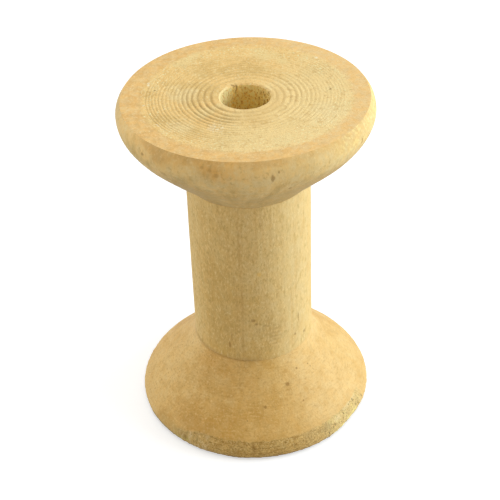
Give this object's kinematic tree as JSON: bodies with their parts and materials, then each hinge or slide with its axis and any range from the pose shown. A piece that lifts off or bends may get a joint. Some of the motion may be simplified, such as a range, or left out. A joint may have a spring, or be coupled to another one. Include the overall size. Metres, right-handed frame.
{
  "type": "thread spool",
  "caption": "Empty turned wooden thread spool: a plain barrel between a bowl-shaped upper flange and a cone-shaped lower flange, bored right through for a spool pin.",
  "frame": {"origin": "centre of the lower end face, on the axis", "axes": "+Z along the spool's axis, from the lower flange to the upper flange; the spool is round about it, so +X and +Y are free"},
  "size_m": [0.0404, 0.0404, 0.059],
  "materials": {
    "flange_wood": "bare turned wood, fine-grained, end faces fuzzy with tool rings, cones smooth and slightly burnished",
    "barrel_wood": "bare turned wood, fine straight grain along the axis, matt"
  },
  "bodies": {
    "root": {"upper_flange": "flange_wood", "barrel": "barrel_wood", "lower_flange": "flange_wood"}
  },
  "joints": []
}
